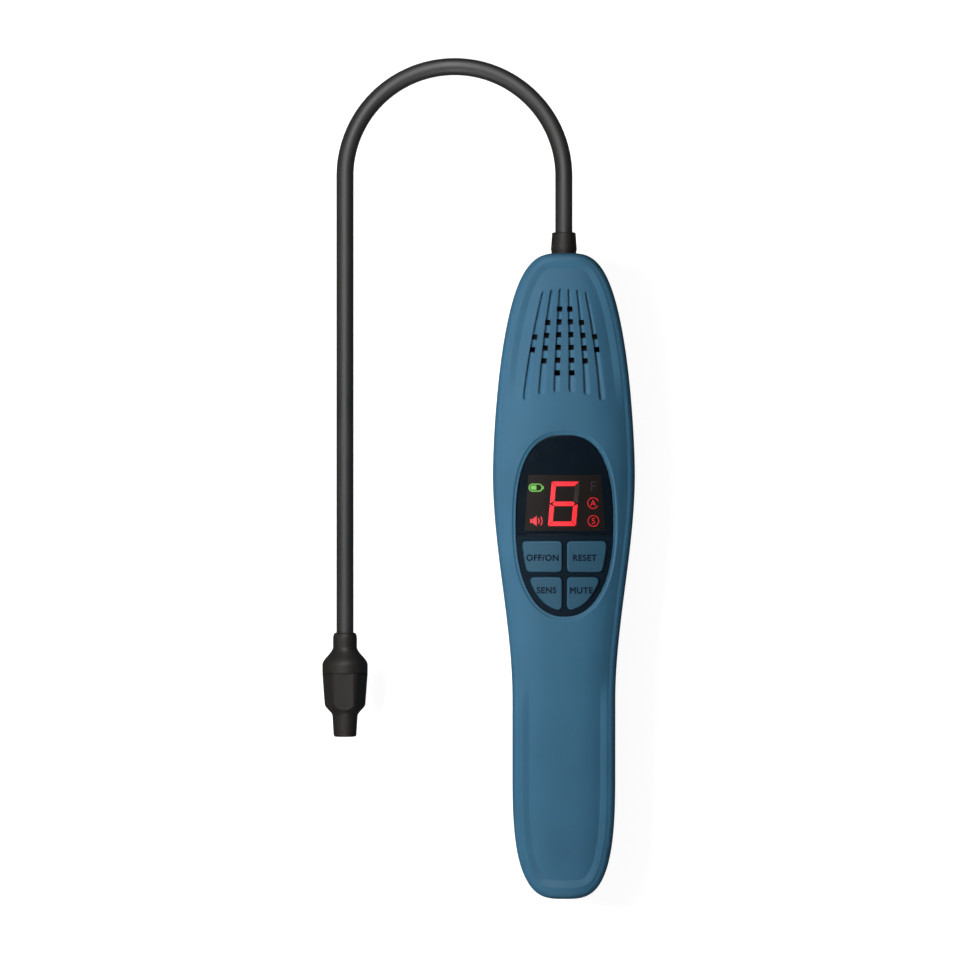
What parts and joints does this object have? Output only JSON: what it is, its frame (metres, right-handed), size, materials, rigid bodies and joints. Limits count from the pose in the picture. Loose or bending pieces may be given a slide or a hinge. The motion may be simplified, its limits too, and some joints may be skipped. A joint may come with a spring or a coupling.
{
  "type": "refrigerant leak detector",
  "caption": "Hand-held refrigerant leak detector: slim blue body with a lit display, keys and a sounder grille, and a black gooseneck that carries a sensing tip.",
  "frame": {"origin": "on the flat of the back, straight behind the middle of the oval panel", "axes": "+Z out of the front, +Y along the body from the heel to the gooseneck, +X to the right when the front is seen"},
  "size_m": [0.1094, 0.2936, 0.033],
  "materials": {
    "body": "fine satin moulded blue",
    "key": "satin blue",
    "window": "polished smoked",
    "bezel": "satin navy",
    "neck_rubber": "satin black",
    "tip_plastic": "satin black",
    "screw_steel": "zinc plated",
    "contact_steel": "nickel plated",
    "sensor_steel": "drawn can",
    "anchor_brass": "turned",
    "cell": "plain foil jacket",
    "board": "solder mask",
    "inner_black": "moulded black",
    "lead": "insulated wire",
    "connector": "moulded natural",
    "felt": "felt"
  },
  "bodies": {
    "housing": {"front_shell": "body", "rear_shell": "body", "shell_screws": "screw_steel", "battery_cell_1": "cell", "battery_cell_2": "cell", "battery_cell_3": "cell", "battery_cell_4": "cell", "battery_contacts": "contact_steel", "battery_springs": "contact_steel", "battery_leads": "lead", "main_board": "board", "board_screws": "screw_steel", "display_module": "inner_black", "display_window": "window", "key_bezel": "bezel", "tact_switches": "inner_black", "sounder": "inner_black", "gooseneck_collar": "tip_plastic", "gooseneck_anchor": "anchor_brass", "gooseneck_sleeve": "neck_rubber", "gooseneck_core": "contact_steel", "sensor_leads": "lead", "lead_connector": "connector", "tip_holder": "tip_plastic", "sensor_socket": "inner_black", "sensor_can": "sensor_steel"},
    "power_button": {"power_key": "key", "power_plunger": "inner_black"},
    "reset_button": {"reset_key": "key", "reset_plunger": "inner_black"},
    "sens_button": {"sens_key": "key", "sens_plunger": "inner_black"},
    "mute_button": {"mute_key": "key", "mute_plunger": "inner_black"},
    "door": {"battery_door": "body"},
    "nozzle": {"tip_cover": "tip_plastic", "tip_filter": "felt"}
  },
  "joints": [
    {"name": "power_press", "type": "slide", "parent": "housing", "child": "power_button", "axis": [0, 0, -1], "range_m": [0, 0.0006], "stiffness_N_per_m": 600},
    {"name": "reset_press", "type": "slide", "parent": "housing", "child": "reset_button", "axis": [0, 0, -1], "range_m": [0, 0.0006], "stiffness_N_per_m": 600},
    {"name": "sens_press", "type": "slide", "parent": "housing", "child": "sens_button", "axis": [0, 0, -1], "range_m": [0, 0.0006], "stiffness_N_per_m": 600},
    {"name": "mute_press", "type": "slide", "parent": "housing", "child": "mute_button", "axis": [0, 0, -1], "range_m": [0, 0.0006], "stiffness_N_per_m": 600},
    {"name": "door_slide", "type": "slide", "parent": "housing", "child": "door", "axis": [0, -1, 0], "range_m": [0, 0.11]},
    {"name": "nozzle_pull", "type": "slide", "parent": "housing", "child": "nozzle", "axis": [0, -1, 0], "range_m": [0, 0.022]}
  ]
}
